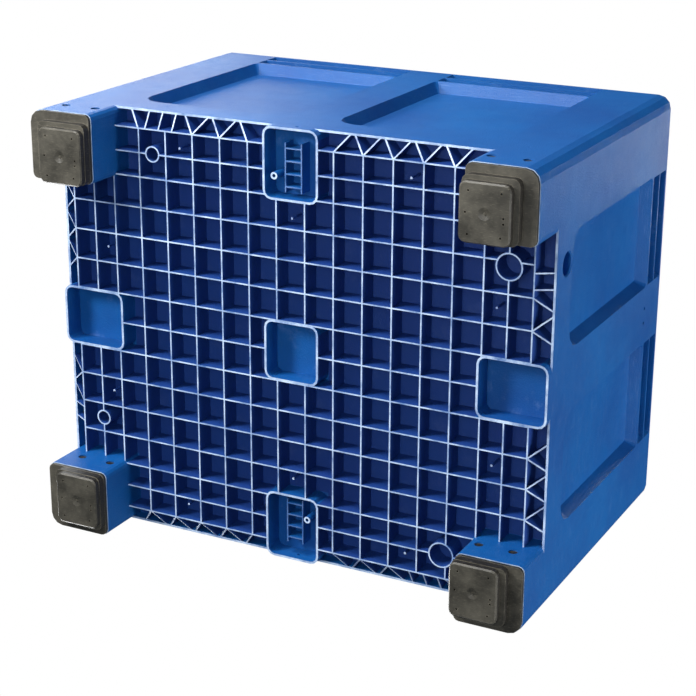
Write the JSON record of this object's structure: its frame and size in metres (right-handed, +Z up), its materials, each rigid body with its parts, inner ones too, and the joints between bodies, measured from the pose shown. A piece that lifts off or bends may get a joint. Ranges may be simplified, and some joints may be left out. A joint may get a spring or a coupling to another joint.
{
  "type": "pallet box",
  "caption": "Blue moulded plastic pallet box on corner feet with dark plug-in foot caps and a ribbed underside.",
  "frame": {"origin": "on the floor under the middle of the box", "axes": "+X along the long side, +Y along the short side, +Z up out of the open top"},
  "size_m": [1.2, 1, 0.85],
  "materials": {
    "blue_plastic": "satin",
    "dark_plastic": "satin"
  },
  "bodies": {
    "root": {"tub": "blue_plastic", "foot_cap_front_left": "dark_plastic", "foot_cap_front_right": "dark_plastic", "foot_cap_rear_left": "dark_plastic", "foot_cap_rear_right": "dark_plastic"}
  },
  "joints": []
}
